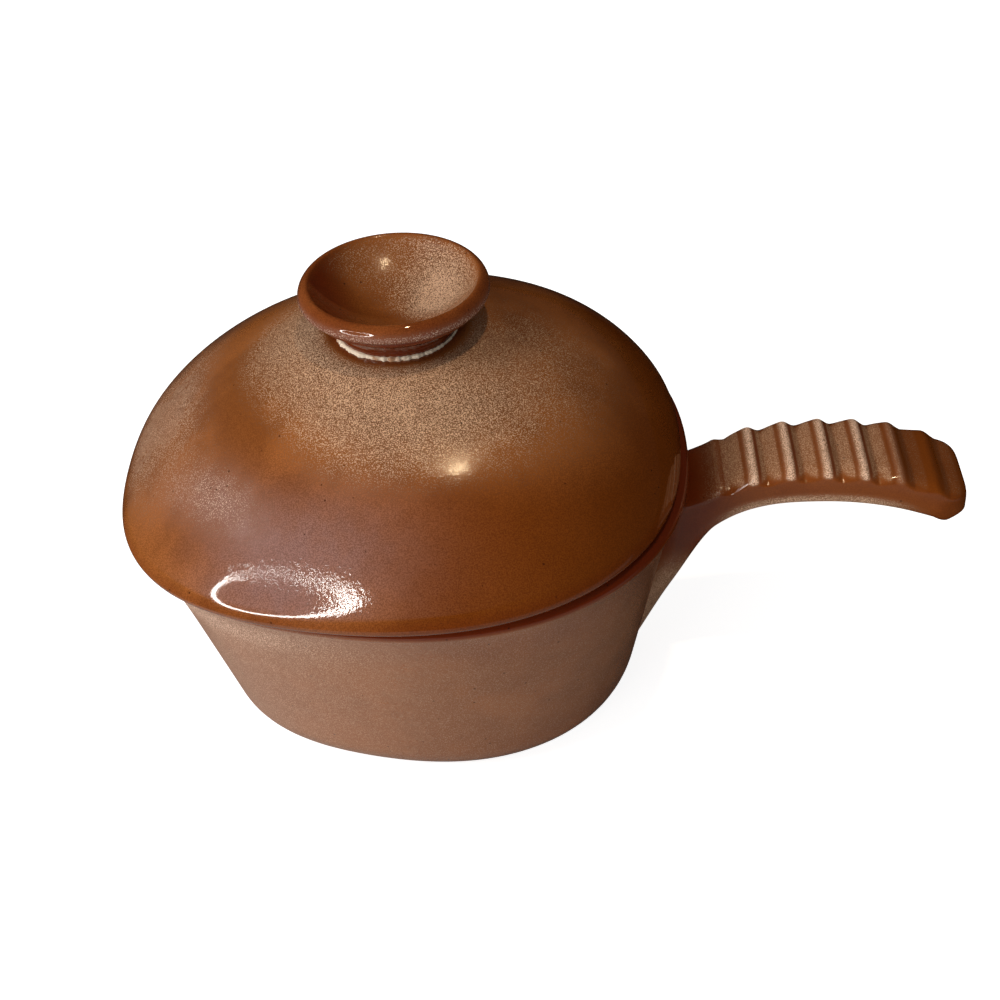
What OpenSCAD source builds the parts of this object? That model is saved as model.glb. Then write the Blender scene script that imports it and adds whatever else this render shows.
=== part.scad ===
// Covered stoneware serving pot: a bowl with one ribbed handle, and a loose domed lid with a dished knob.
// Millimetres. The origin is on the knob's axis, on the face that the pot stands on.
// +Z is up, and +X points along the handle.

/* [Mouth] */
// Mean radius of the lid's edge, which the bowl's rim follows
mouth_r = 105.5; // [95:0.1:120]
// Egg shape of the mouth: negative makes the end away from the handle the fuller one
mouth_egg = -1.7; // [-3:0.1:3]
// Oval shape of the mouth: positive makes it longer along the handle
mouth_oval = 1.6; // [-3:0.1:4]
// Three-sided swell of the mouth
mouth_trefoil = -1.3; // [-2.5:0.1:2.5]
// Four-sided swell of the mouth: negative puts the fullest places between the axes
mouth_square = -2.6; // [-3:0.1:1]
// Five-sided swell of the mouth
mouth_five = 0.7; // [-1.5:0.1:1.5]
// Six-sided swell of the mouth
mouth_six = -0.5; // [-1:0.1:1]

/* [Bowl] */
// Height of the rim, halfway along the mouth
rim_h = 93.8; // [80:0.2:110]
// How much higher than that the rim is at the handle
rim_rise = 3.2; // [0:0.1:6]
// How far the rim stands out past the lid at the handle
rim_proud = 5; // [0:0.1:7]
// Thickness of the bowl's wall
wall = 6.5; // [5:0.25:8]
// Thickness of the bowl's floor
floor_t = 8; // [5:0.5:12]
// How far the wall leans in from the rim down to the ground
wall_lean = 23; // [12:0.5:30]
// How far the rim flares out from the wall
rim_flare = 4.2; // [0:0.1:5]
// Width of the rounded corner at the foot
foot_corner_w = 12; // [6:0.5:18]
// Height of the rounded corner at the foot
foot_corner_h = 14.5; // [8:0.5:22]
// How far the foot is set towards the handle
foot_shift = 3.8; // [0:0.1:6]
// Size of the rounded corner inside, at the floor
floor_corner = 20; // [10:1:28]

/* [Lid] */
// Rise of the lid's dome above its edge
crown_h = 54; // [40:0.5:65]
// Roundness of the dome: higher is flatter on top
crown_round = 2.27; // [1.9:0.01:2.7]
// How much rounder the dome is towards the handle
crown_skew = 0.3; // [0:0.01:0.4]
// Fullness of the dome's shoulder
crown_full = 1.21; // [1.1:0.01:1.5]
// Height of the soft swell round the knob
swell_h = 4; // [0:0.5:8]
// Reach of that swell from the knob's axis
swell_r = 47; // [38:1:56]
// How far the knob's flat seat reaches out past the ring round the knob's foot
seat_ledge = 0.3; // [0.1:0.1:2]
// Distance over which the dome runs level into that seat
seat_blend = 20; // [12:0.5:28]
// Thickness of the lid's edge
edge_t = 3.5; // [2.4:0.1:6]
// Thickness of the dome's wall
lid_wall = 6; // [4:0.25:9]
// How far the lid reaches out past the rim at the end away from the handle
lid_overhang = 3.4; // [0:0.1:5]
// Depth of the ring that keeps the lid in the mouth
flange_h = 8; // [4:0.5:12]
// Thickness of that ring
flange_t = 5; // [3.5:0.25:7]
// Room between that ring and the bowl's wall
lid_play = 1.5; // [0.8:0.1:3]
// Gap between the lid and the rim that it sits on
lid_gap = 0.3; // [0.2:0.05:0.6]

/* [Knob] */
// Radius of the knob's foot, where it is joined to the lid
knob_foot_r = 23; // [19:0.5:26]
// Height of the band above the foot, which the ring of bare clay lies against
knob_band_h = 1.6; // [0.8:0.1:2.5]
// How far that band widens on its way up
knob_band_flare = 0.4; // [0:0.1:1]
// Width of the ring of bare clay round the foot
ring_w = 1.8; // [1:0.1:2.4]
// How far out from the foot the neck's hollow turns
knob_hollow = 1.2; // [0:0.1:3]
// Radius over the bead under the lip
knob_bead_r = 31; // [28.5:0.1:32.5]
// Roundness of that bead
knob_bead_round = 1.5; // [1:0.1:1.8]
// Groove between that bead and the lip
knob_groove = 0.8; // [0.4:0.1:1.4]
// Radius over the knob's lip
knob_lip_r = 33.8; // [32:0.1:38]
// Roundness of the lip
knob_lip_round = 2.4; // [2:0.1:3]
// Height of the lip's middle above the lid
knob_lip_z = 16.8; // [15.8:0.1:22]
// Depth of the dish below the lip's middle
knob_dish = 9.5; // [4:0.25:10.5]

/* [Handle] */
// Length of the handle from the rim to its tip
handle_reach = 102; // [88:1:125]
// Width of the handle where its ribs start
handle_root_w = 34.6; // [28:0.2:40]
// Width of the handle near its tip
handle_tip_w = 39; // [30:0.5:46]
// Thickness of the handle at the top of its arch
handle_t = 17; // [13:0.2:20]
// How far the top of the arch lies below the rim
arch_drop = 2.2; // [0:0.2:8]
// Distance of the top of the arch from the rim
arch_x = 47.5; // [40:0.5:54]
// Radius of the arch along the ribs
arch_top_r = 130; // [120:1:300]
// Radius of the arch along the underside, towards the tip
arch_low_r = 109; // [95:1:240]
// How far the underside has come down where the handle reaches the rim
haunch = 21.5; // [14:0.5:28]
// Height of the joint's lower end above the rounded corner of the foot
root_lift = 0; // [0:0.5:12]
// How far the joint's upper end lies below the rim
root_top_drop = 16.5; // [12:0.5:22]
// Height of the joint's broad upper part
root_shoulder = 12.8; // [9:0.2:16]
// Width of the joint on the bowl
root_w = 33; // [26:0.5:40]
// How far the root swells out below, between the joint and the ribs
root_swell = 3.5; // [0:0.1:5]
// Distance from one rib to the next
rib_pitch = 13.5; // [10:0.1:18]
// Depth of the hollows between the ribs
rib_depth = 1.9; // [0.5:0.1:3]
// Distance of the first rib from the rim
rib_start = 8; // [7:0.5:12]
// Length of the rounded tip
tip_round = 13; // [8:0.5:16]
// How far the tip's end lies above the handle's middle
tip_lift = 2; // [0:0.1:4]

/* [Joints] */
// Gap between pieces that are fired together: the handle and the bowl, the ring of clay and the knob
joint_gap = 0.2; // [0.15:0.05:0.4]

/* [Hidden] */
// Steps round the bowl and the lid
STEPS = 72;
// Steps of a rounded corner of the bowl, of its wall and of the round top of its rim
CORNER_STEPS = 5;
WALL_STEPS = 7;
RIM_STEPS = 6;
// Steps of the lid's dome outside and inside, and of its rounded edge
DOME_STEPS = 13;
UNDER_STEPS = 9;
EDGE_STEPS = 4;
// Steps of the ring of clay, of the knob's neck, bead, lip and dish, and round the knob's axis
RING_STEPS = 5;
NECK_STEPS = 8;
BEAD_STEPS = 6;
LIP_STEPS = 14;
DISH_STEPS = 10;
KNOB_STEPS = 96;
// Steps round one section of the handle, for each rib, and along its joint, neck and tip
LOOP = 24;
RIB_STEPS = 7;
JOINT_STEPS = 5;
ROOT_STEPS = 7;
TIP_STEPS = 6;
// How strongly steps crowd towards a bend
CROWDING = 1.6;
// Sharpness of the rim's flare
FLARE_POWER = 10;
// Angles at which the bead and the lip of the knob start and end on their circles
BEAD_ANGLES = [-60, 90];
LIP_ANGLES = [-120, 150];
// Squareness of the handle's section, and of the fin that its root runs down the bowl
SQUARENESS = 4;
FIN_SQUARENESS = 2.3;
// Bluntness of the handle's tip
TIP_POWER = 3;
// Width of a rib's rounded crest, as a part of the pitch
CREST = 0.09;
// How far the handle's root runs straight from the joint and into the ribs, as shares of the way
ROOT_RUN = 0.4;
NECK_RUN = 0.2;
// Rounds of search for a point on the bowl's wall
TRIES = 6;
// Small step for slopes
TINY = 0.01;

GLAZE = "#8a5433";
GLAZE_DARK = "#7a4529";
CLAY = "#d8c2a0";

// Angles of the steps round the bowl and the lid
angles = [for (i = [0:STEPS - 1]) 360 * i / STEPS];

// Points on a circle of radius r about the point c, from angle a to angle b
function arc(c, r, a, b, n, first = 0) = [for (i = [first:n])
    let (g = a + (b - a) * i / n)
    c + r * [cos(g), sin(g)]];

// Point at t on the curve from p to q that is drawn towards c
function bend(p, c, q, t) = (1 - t) * (1 - t) * p + 2 * t * (1 - t) * c + t * t * q;

// Point at t on the curve from p to q that leaves towards c and arrives from d
function curve(p, c, d, q, t) = (1 - t) * bend(p, c, d, t) + t * bend(c, d, q, t);

// Power that keeps the sign
function signed_pow(v, n) = sign(v) * pow(abs(v), n);

// Share of the way after i of n steps that crowd towards the end
function crowd(i, n) = 1 - pow(1 - i / n, CROWDING);

// Radius of the lid's edge at angle g
function mouth(g) = mouth_r + mouth_egg * cos(g) + mouth_oval * cos(2 * g) + mouth_trefoil * cos(3 * g)
    + mouth_square * cos(4 * g) + mouth_five * cos(5 * g) + mouth_six * cos(6 * g);

// Radius over the bowl's rim at angle g
function rim(g) = mouth(g) - lid_overhang + (lid_overhang + rim_proud) * pow((1 + cos(g)) / 2, 2);

// Height of the rim at angle g
function rim_z(g) = rim_h + rim_rise * cos(g);

// How far a rounded corner of width w and height h draws in at height z above its start
function corner(z, w, h) = z < h ? w * (1 - sqrt(max(0, 1 - pow(1 - z / h, 2)))) : 0;

// How far the wall lies inside the rim at share s of the rim's height, without its corners
function wall_inset(s) = wall_lean * (1 - s) + rim_flare * (1 - pow(s, FLARE_POWER));

// Radius of the bowl's outside at share s of the rim's height and angle g
function bowl_out(s, g) =
    rim(g) * (1 - (wall_inset(s) + corner(s * rim_h, foot_corner_w, foot_corner_h)) / mouth_r);

// Radius of the bowl's inside there
function bowl_in(s, g) =
    rim(g) * (1 - (wall_inset(s) + corner(s * rim_h - floor_t, floor_corner, floor_corner)) / mouth_r) - wall;

// Point of the bowl at share s of the rim's height, angle g and radius r
function bowl_point(s, g, r) = [foot_shift * (1 - s) + r * cos(g), r * sin(g), s * rim_z(g)];

// One ring of the bowl, outside or inside, at share s of the rim's height
function bowl_ring_out(s) = [for (g = angles) bowl_point(s, g, bowl_out(s, g))];
function bowl_ring_in(s) = [for (g = angles) bowl_point(s, g, bowl_in(s, g))];

// Share of the rim's height where its round top starts
crown_s = (rim_h - wall / 2) / rim_h;

// One ring of the round top of the rim, at angle a of its half circle
function bowl_ring_top(a) = [for (g = angles)
    bowl_point(crown_s + wall / 2 * sin(a) / rim_h, g, bowl_out(crown_s, g) - wall / 2 * (1 - cos(a)))];

// Heights of the steps of a rounded corner of height h
function corner_heights(h) = [for (i = [0:CORNER_STEPS]) h * (1 - cos(90 * i / CORNER_STEPS))];

// Shares of the rim's height from the height z up to the round top, without the first
function wall_shares(z) = [for (i = [1:WALL_STEPS]) z / rim_h + (crown_s - z / rim_h) * crowd(i, WALL_STEPS)];

// The list turned round
function turned(list) = [for (i = [len(list) - 1:-1:0]) list[i]];

// Closed solid through a list of rings with as many points each.
// Its ends are flat, or run to the two poles where these are given.
module loft(rings, poles = []) {
    n = len(rings[0]);
    m = len(rings);
    top = (m - 1) * n;
    sides = [for (i = [0:m - 2]) for (j = [0:n - 1]) for (half = [0, 1])
        let (a = i * n + j, b = i * n + (j + 1) % n)
        half == 0 ? [a, a + n, b + n] : [a, b + n, b]];
    caps = [[for (j = [0:n - 1]) j], [for (j = [n - 1:-1:0]) top + j]];
    fans = [for (j = [0:n - 1]) for (half = [0, 1])
        let (k = (j + 1) % n)
        half == 0 ? [m * n, j, k] : [m * n + 1, top + k, top + j]];
    points = concat([for (ring = rings) for (p = ring) p], poles);
    polyhedron(points, concat(sides, len(poles) == 2 ? fans : caps));
}

module bowl() {
    outside = concat([for (z = corner_heights(foot_corner_h)) z / rim_h], wall_shares(foot_corner_h));
    inside = concat([for (z = corner_heights(floor_corner)) (floor_t + z) / rim_h],
        wall_shares(floor_t + floor_corner));
    color(GLAZE) loft(concat(
        [for (s = outside) bowl_ring_out(s)],
        [for (i = [1:RIM_STEPS - 1]) bowl_ring_top(180 * i / RIM_STEPS)],
        [for (s = turned(inside)) bowl_ring_in(s)]));
}

// Height of the dome's outside at share t of the way from the knob's axis to the edge, at angle g
function dome(t, g) = edge_t + rim_h + rim_rise * cos(g) * pow(t, 3)
    + crown_h * pow(max(0, 1 - pow(t, crown_round + crown_skew * cos(g))), 1 / crown_full)
    + swell_h * exp(-pow(t * mouth_r / swell_r, 2));

// Radius and height of the flat seat under the knob
seat_r = knob_foot_r + joint_gap + ring_w + seat_ledge;
seat_z = dome(seat_r / mouth_r, 90);

// Height of the lid's outside at radius r and angle g, levelled into the seat close to the knob
function lid_z(r, g) =
    let (level = pow(max(0, 1 - (r - seat_r) / seat_blend), 2))
    level * seat_z + (1 - level) * dome(r / mouth(g), g);

// Height of the lid's inside there, one wall's thickness away
function lid_z_in(r, g) =
    let (slope = (lid_z(r + TINY, g) - lid_z(r - TINY, g)) / (2 * TINY))
    lid_z(r, g) - lid_wall * sqrt(1 + slope * slope);

// Radius over the ring that keeps the lid in the mouth
flange_s = (rim_h - flange_h) / rim_h;
function flange_r(g) = bowl_in(flange_s, g) - foot_shift * (1 - flange_s) * abs(cos(g)) - lid_play;

// Point of the lid at angle g, radius r and height z
function lid_point(g, r, z) = [r * cos(g), r * sin(g), z];

// Level of the lid's underside at angle g
function lid_low(g) = rim_z(g) + lid_gap;

// One ring of the dome, outside or inside, at share w of the way out from the knob's seat
function dome_ring_out(w) = [for (g = angles)
    let (r = seat_r + w * (mouth(g) - seat_r))
    lid_point(g, r, lid_z(r, g))];
function dome_ring_in(w) = [for (g = angles)
    let (r = seat_r + w * (flange_r(g) - flange_t - seat_r))
    lid_point(g, r, lid_z_in(r, g))];

// One ring of the ring in the mouth, d in from its outer face and h above its lower edge
function flange_ring(d, h) = [for (g = angles) lid_point(g, flange_r(g) - d, lid_low(g) - flange_h + h)];

// One ring of the lid's rounded edge, at angle a of its quarter circle
edge_round = edge_t - lid_gap;
function edge_ring(a) = [for (g = angles)
    lid_point(g, mouth(g) - edge_round * (1 - cos(a)), lid_low(g) + edge_round * (1 + sin(a)))];

module lid() {
    flange_round = flange_t / 4;
    color(GLAZE) loft(concat(
        [[for (g = angles) lid_point(g, seat_r, seat_z - lid_wall)]],
        [for (i = [1:UNDER_STEPS]) dome_ring_in(crowd(i, UNDER_STEPS))],
        [flange_ring(flange_t, flange_round)],
        [flange_ring(flange_t - flange_round, 0)],
        [flange_ring(flange_round, 0)],
        [flange_ring(0, flange_round)],
        [flange_ring(0, flange_h)],
        [for (i = [0:EDGE_STEPS]) edge_ring(90 * i / EDGE_STEPS - 90)],
        [for (i = [1:DOME_STEPS]) dome_ring_out(crowd(DOME_STEPS - i, DOME_STEPS))]));
}

module knob() {
    lip = [knob_lip_r - knob_lip_round, knob_lip_z];
    bead = [knob_bead_r - knob_bead_round, knob_lip_z - knob_lip_round - knob_groove - knob_bead_round];
    band = [knob_foot_r + knob_band_flare, knob_band_h];
    hollow_turn = [knob_foot_r + knob_hollow, (band[1] + bead[1]) / 2];
    bead_start = bead + knob_bead_round * [cos(BEAD_ANGLES[0]), sin(BEAD_ANGLES[0])];
    dish_edge = lip + knob_lip_round * [cos(LIP_ANGLES[1]), sin(LIP_ANGLES[1])];
    dish_z = knob_lip_z - knob_dish;
    dish_h = dish_edge[1] - dish_z;
    dish_r = (dish_edge[0] * dish_edge[0] + dish_h * dish_h) / (2 * dish_h);
    dish_a = asin(dish_edge[0] / dish_r);
    profile = concat(
        [[0, 0], [knob_foot_r, 0], band],
        [for (i = [1:NECK_STEPS - 1]) bend(band, hollow_turn, bead_start, i / NECK_STEPS)],
        arc(bead, knob_bead_round, BEAD_ANGLES[0], BEAD_ANGLES[1], BEAD_STEPS),
        arc(lip, knob_lip_round, LIP_ANGLES[0], LIP_ANGLES[1], LIP_STEPS),
        arc([0, dish_z + dish_r], dish_r, dish_a - 90, -90, DISH_STEPS, 1));
    color(GLAZE_DARK) translate([0, 0, seat_z]) rotate_extrude($fn = KNOB_STEPS) polygon(profile);
}

module joint_ring() {
    inner = knob_foot_r + joint_gap;
    foot = [inner + ring_w, 0];
    crest = [inner + knob_band_flare, knob_band_h];
    side = [for (i = [0:RING_STEPS]) bend(foot, [foot[0], crest[1]], crest, i / RING_STEPS)];
    profile = concat([[inner, 0]], side);
    color(CLAY) translate([0, 0, seat_z]) rotate_extrude($fn = KNOB_STEPS) polygon(profile);
}

// Where the handle starts, arches and ends
rim_x = rim(0);
first_x = rim_x + rib_start;
apex_x = rim_x + arch_x;
apex_z = rim_z(0) - arch_drop;
tip_x = rim_x + handle_reach;
blunt_x = tip_x - tip_round;

// Half width, top and underside of the handle at x
function handle_half(x) =
    (handle_root_w + (handle_tip_w - handle_root_w) * (x - first_x) / (blunt_x - first_x)) / 2;
function handle_top(x) = apex_z - pow(x - apex_x, 2) / (2 * arch_top_r);
function handle_low(x) = apex_z - handle_t
    - (x > apex_x ? pow(x - apex_x, 2) / (2 * arch_low_r) : haunch * pow((apex_x - x) / arch_x, 3));

// Depth of the hollow between two ribs at x, none on a crest
function hollow(x) =
    let (u = (x - first_x) / rib_pitch, d = abs(u - round(u)))
    x < first_x ? 0 : rib_depth * (1 - pow(1 - 2 * (sqrt(d * d + CREST * CREST) - CREST), 2));

// Height of the handle's middle at x, where its section is drawn in to the share k
function handle_mid(x, k) = (handle_top(x) + handle_low(x)) / 2 + tip_lift * (1 - k);

// One section of the handle at x: a squarish loop with the ribs on top, drawn in to the share k at the tip
function handle_ring(x, k) = [for (j = [0:LOOP - 1])
    let (
        a = 360 * j / LOOP,
        y = handle_half(x) * signed_pow(cos(a), 2 / SQUARENESS),
        z = (handle_top(x) - handle_low(x)) / 2 * signed_pow(sin(a), 2 / SQUARENESS),
        cut = hollow(x) * sqrt(max(0, sin(a))))
    [x, k * y, handle_mid(x, k) + k * z - cut]];

// Where the bowl's outside lies at y and z on the handle's side, found by drawing near to it in steps
function wall_x(y, z, x = rim_x, tries = TRIES) =
    let (
        s = z / rim_z(atan2(y, x)),
        middle = foot_shift * (1 - s),
        r = bowl_out(s, atan2(y, x - middle)))
    tries == 0 ? x : wall_x(y, z, middle + sqrt(r * r - y * y), tries - 1);

// The handle's joint on the bowl: a drop-shaped ring on the wall, drawn in to the share k
root_top_z = rim_z(0) - root_top_drop;
root_mid_z = root_top_z - root_shoulder;
function root_ring(k) = [for (j = [0:LOOP - 1])
    let (
        a = 360 * j / LOOP,
        tall = sin(a) > 0 ? root_shoulder : root_mid_z - foot_corner_h - root_lift,
        power = 2 / (sin(a) > 0 ? SQUARENESS : FIN_SQUARENESS),
        y = k * root_w / 2 * signed_pow(cos(a), power),
        z = root_mid_z + k * tall * signed_pow(sin(a), power))
    [wall_x(y, z) + joint_gap, y, z]];

// Ring at share t of the way from the joint to the first rib, each point on its own bent path
function neck_ring(t) =
    let (root = root_ring(1), neck = handle_ring(first_x, 1), back = handle_ring(first_x - TINY, 1))
    [for (j = [0:LOOP - 1])
        let (
            slope = (neck[j] - back[j]) / TINY,
            swell = [root_swell * max(0, -sin(360 * j / LOOP)), 0, 0],
            leave = root[j] + ROOT_RUN * (neck[j] - root[j]) + swell,
            arrive = neck[j] - NECK_RUN * (first_x - root[j][0]) * slope)
        curve(root[j], leave, arrive, neck[j], t)];

module handle() {
    ribbed = blunt_x - first_x;
    stations = ceil(ribbed / rib_pitch * RIB_STEPS);
    joint = [for (i = [1:JOINT_STEPS]) root_ring(i / JOINT_STEPS)];
    neck = [for (i = [1:ROOT_STEPS]) neck_ring(i / ROOT_STEPS)];
    grip = [for (i = [1:stations]) handle_ring(first_x + ribbed * i / stations, 1)];
    tip = [for (i = [1:TIP_STEPS - 1])
        let (a = 90 * i / TIP_STEPS)
        handle_ring(blunt_x + tip_round * sin(a), pow(cos(a), 1 / TIP_POWER))];
    poles = [[wall_x(0, root_mid_z) + joint_gap, 0, root_mid_z], [tip_x, 0, handle_mid(tip_x, 0)]];
    color(GLAZE) loft(concat(joint, neck, grip, tip), poles);
}

bowl();
handle();
lid();
knob();
joint_ring();
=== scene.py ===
"""Looks of a covered stoneware pot: fine surfaces, a mottled brown glaze and a plain studio.

Sizes are millimetres in the part's own frame: the origin lies on the knob's axis, in the face that the
pot stands on, +Z is up and +X runs along the handle. Meshes, lamps and the camera are set in metres.
"""

import logging
import math
from dataclasses import dataclass, field
from enum import Enum
from functools import cached_property

import bpy
import numpy as np
from mathutils import Euler, Matrix, Vector


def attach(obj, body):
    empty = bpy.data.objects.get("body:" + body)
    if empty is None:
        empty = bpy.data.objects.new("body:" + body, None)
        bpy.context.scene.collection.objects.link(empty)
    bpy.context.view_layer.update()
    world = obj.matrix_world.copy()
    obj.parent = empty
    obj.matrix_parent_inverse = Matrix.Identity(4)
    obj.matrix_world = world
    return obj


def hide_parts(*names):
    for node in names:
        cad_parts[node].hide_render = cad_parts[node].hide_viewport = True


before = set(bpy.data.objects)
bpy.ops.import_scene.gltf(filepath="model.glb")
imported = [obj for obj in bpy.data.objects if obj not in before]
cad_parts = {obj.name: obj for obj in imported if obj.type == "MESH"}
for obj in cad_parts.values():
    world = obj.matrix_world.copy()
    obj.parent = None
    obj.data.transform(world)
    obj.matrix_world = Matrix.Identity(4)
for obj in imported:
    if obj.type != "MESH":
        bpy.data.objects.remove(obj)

LOG = logging.getLogger("covered_pot")
MM = 0.001
TURN = 2.0 * math.pi
QUARTER = 0.25 * TURN
FLAT = (0.03, 0.97)  # first and last share of the way out of the rings on a flat face
NUDGE = 0.01  # step in millimetres for working out a slope
WHITE = (1.0, 1.0, 1.0, 1.0)

Array = np.ndarray
Socket = bpy.types.NodeSocket
Pair = tuple[float, float]
Triple = tuple[float, float, float]


class Body(Enum):
    """Bodies of the frame that the pieces ride on."""

    POT = "pot"
    COVER = "cover"


class Mark(Enum):
    """Marks on a glazed surface that say how the glaze lies there, from 0 to about 1; some also carry
    painted light: BLOOM_AND_LIGHT painted highlights and sheen, THIN_AND_SHADE painted shade,
    ROSE_AND_SHEEN painted sheen.
    """

    BLOOM_AND_LIGHT = "bloom"
    THIN_AND_SHADE = "thin"
    ROSE_AND_SHEEN = "rose"
    POOL = "pool"
    RELIEF = "relief"


class Ends(Enum):
    """How a skin ends at its first and last ring."""

    FILLED = "filled"
    JOINED = "joined"


def round_angles(count: int) -> Array:
    """Angles of count even steps round a full turn."""
    return np.arange(count) * (TURN / count)


def ease(low: float, high: float, value: Array) -> Array:
    """Smooth step: 0 below low, 1 above high, and the cubic 3t^2 - 2t^3 between them."""
    t = np.clip((value - low) / (high - low), 0.0, 1.0)
    return t * t * (3.0 - 2.0 * t)


def hill(value: Array, centre: float, width: float) -> Array:
    """Bell curve of height 1 about centre, the exponential of minus the squared distance in widths."""
    return np.exp(-(((value - centre) / width) ** 2))


def patch(x: Array, y: Array, centre: Pair, size: Pair) -> Array:
    """Round spot of height 1 that fades from a centre, a bell curve in x times one in y."""
    return hill(x, centre[0], size[0]) * hill(y, centre[1], size[1])


def laid(most: float = 1.0, **marks: Array) -> dict[Mark, Array]:
    """Marks by their names, kept from 0 to 1, and the bloom from 0 to the most given."""
    tops = {Mark.BLOOM_AND_LIGHT: most}
    return {Mark(name): np.clip(value, 0, tops.get(Mark(name), 1)) for name, value in marks.items()}


def arc(centre: Pair, radius: float, start: float, end: float, count: int) -> Array:
    """Points on a circle, from one angle to another.

    Args:
        centre: Middle of the circle.
        radius: Radius of the circle.
        start: First angle, in degrees.
        end: Last angle, in degrees.
        count: Number of points.

    Returns:
        Points as rows of two numbers.
    """
    a = np.radians(np.linspace(start, end, count))
    return np.stack([centre[0] + radius * np.cos(a), centre[1] + radius * np.sin(a)], axis=1)


def bend(p: Array, c: Array, q: Array, t: Array) -> Array:
    """Quadratic curve from p to q drawn towards c: (1-t)^2 p + 2t(1-t) c + t^2 q."""
    return (1 - t) ** 2 * p + 2 * t * (1 - t) * c + t**2 * q


def curve(p: Array, c: Array, d: Array, q: Array, t: Array) -> Array:
    """Cubic curve from p to q that leaves towards c and arrives from d: two blended quadratic ones."""
    return (1 - t) * bend(p, c, d, t) + t * bend(c, d, q, t)


def spread(profile: Array, count: int) -> Array:
    """A profile's points set at even distances along it.

    Args:
        profile: Points as rows of two numbers.
        count: Number of points wanted.

    Returns:
        Points as rows of two numbers, by straight lines between the given ones.
    """
    length = np.concatenate([[0.0], np.cumsum(np.linalg.norm(np.diff(profile, axis=0), axis=1))])
    at = np.linspace(0.0, length[-1], count)
    return np.stack([np.interp(at, length, profile[:, k]) for k in range(profile.shape[1])], axis=1)


def turned(r: Array, g: Array, z: Array) -> Array:
    """Points at radius r, angle g and height z: x is r cos g, y is r sin g."""
    return np.stack(np.broadcast_arrays(r * np.cos(g), r * np.sin(g), z), axis=-1)


@dataclass
class Skin:
    """A closed surface as a grid of rings, with a mark for each point.

    Attributes:
        grid: Points of shape (rings, steps, 3); the steps close on themselves.
        marks: Values of shape (rings, steps) for each mark.
        ends: Whether the end rings are filled, or joined to each other.
    """

    grid: Array
    marks: dict[Mark, Array] = field(default_factory=dict)
    ends: Ends = Ends.FILLED

    def mesh(self, name: str) -> bpy.types.Mesh:
        """The grid as a mesh of quads; filled ends get a fan of triangles from the ring's middle.

        Args:
            name: Name of the mesh.

        Returns:
            A closed, smooth mesh in metres, with one float attribute for each mark.
        """
        rings, steps = self.grid.shape[:2]
        joined = self.ends is Ends.JOINED
        poles = np.stack([self.grid[0].mean(axis=0), self.grid[-1].mean(axis=0)])[: 0 if joined else 2]
        points = np.concatenate([self.grid.reshape(-1, 3), poles]) * MM
        i, j = np.meshgrid(np.arange(rings if joined else rings - 1), np.arange(steps), indexing="ij")
        pole = rings * steps
        i, k = i * steps, (j + 1) % steps
        above = (i + steps) % pole
        quads = np.stack([i + j, i + k, above + k, above + j], axis=-1).reshape(-1)
        j = np.arange(0 if joined else steps)
        k = (j + 1) % steps
        last = pole - steps
        first_fan = np.stack([np.full_like(j, pole), k, j], axis=-1).reshape(-1)
        last_fan = np.stack([np.full_like(j, pole + 1), last + j, last + k], axis=-1).reshape(-1)
        corners = np.concatenate([quads, first_fan, last_fan])
        sizes = np.concatenate([np.full(quads.size // 4, 4), np.full(2 * j.size, 3)])
        starts = np.concatenate([[0], np.cumsum(sizes)[:-1]])
        mesh = bpy.data.meshes.new(name)
        mesh.vertices.add(len(points))
        mesh.vertices.foreach_set("co", points.reshape(-1))
        mesh.loops.add(len(corners))
        mesh.loops.foreach_set("vertex_index", corners.astype(np.int32))
        mesh.polygons.add(len(sizes))
        mesh.polygons.foreach_set("loop_start", starts.astype(np.int32))
        mesh.polygons.foreach_set("use_smooth", np.ones(len(sizes), dtype=bool))
        for mark, values in self.marks.items():
            ends = [values[0].mean(), values[-1].mean()][: len(poles)]
            numbers = np.concatenate([values.reshape(-1), ends]).astype(np.float32)
            layer = mesh.attributes.new(mark.value, "FLOAT", "POINT")
            layer.data.foreach_set("value", numbers)
        mesh.update(calc_edges=True)
        mesh.validate()
        return mesh


def show(name: str, data: bpy.types.ID) -> bpy.types.Object:
    """A new object in the scene with the given data."""
    thing = bpy.data.objects.new(name, data)
    bpy.context.scene.collection.objects.link(thing)
    return thing


def place(name: str, skin: Skin, body: Body, node: str) -> bpy.types.Object:
    """Puts a skin into the scene in place of a solid of the frame.

    Args:
        name: Name of the new piece.
        skin: Its surface.
        body: Body that it rides on.
        node: Node of the frame that it stands for.

    Returns:
        The new object, at the origin.
    """
    piece = show(name, skin.mesh(name))
    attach(piece, body.value)
    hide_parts(node)
    LOG.info("%s: %d points in place of %s", name, len(piece.data.vertices), node)
    return piece


@dataclass(frozen=True)
class Mouth:
    """The outline that the lid's edge and the bowl's rim share, a circle with a few smooth swells."""

    radius: float = 105.5
    swells: tuple[float, ...] = (-1.7, 1.6, -1.3, -2.6, 0.7, -0.5)
    overhang: float = 3.4
    proud: float = 5.0
    height: float = 93.8
    rise: float = 3.2

    def edge(self, g: Array) -> Array:
        """Radius of the lid's edge at angle g: the mean one plus the sum of swell k times cos(k g)."""
        return self.radius + sum(swell * np.cos((k + 1) * g) for k, swell in enumerate(self.swells))

    def rim(self, g: Array) -> Array:
        """Radius over the bowl's rim: inside the lid's edge, and past it towards the handle."""
        return self.edge(g) - self.overhang + (self.overhang + self.proud) * ((1 + np.cos(g)) / 2) ** 2

    def level(self, g: Array) -> Array:
        """Height of the rim at angle g, which rises towards the handle with cos g."""
        return self.height + self.rise * np.cos(g)


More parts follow.
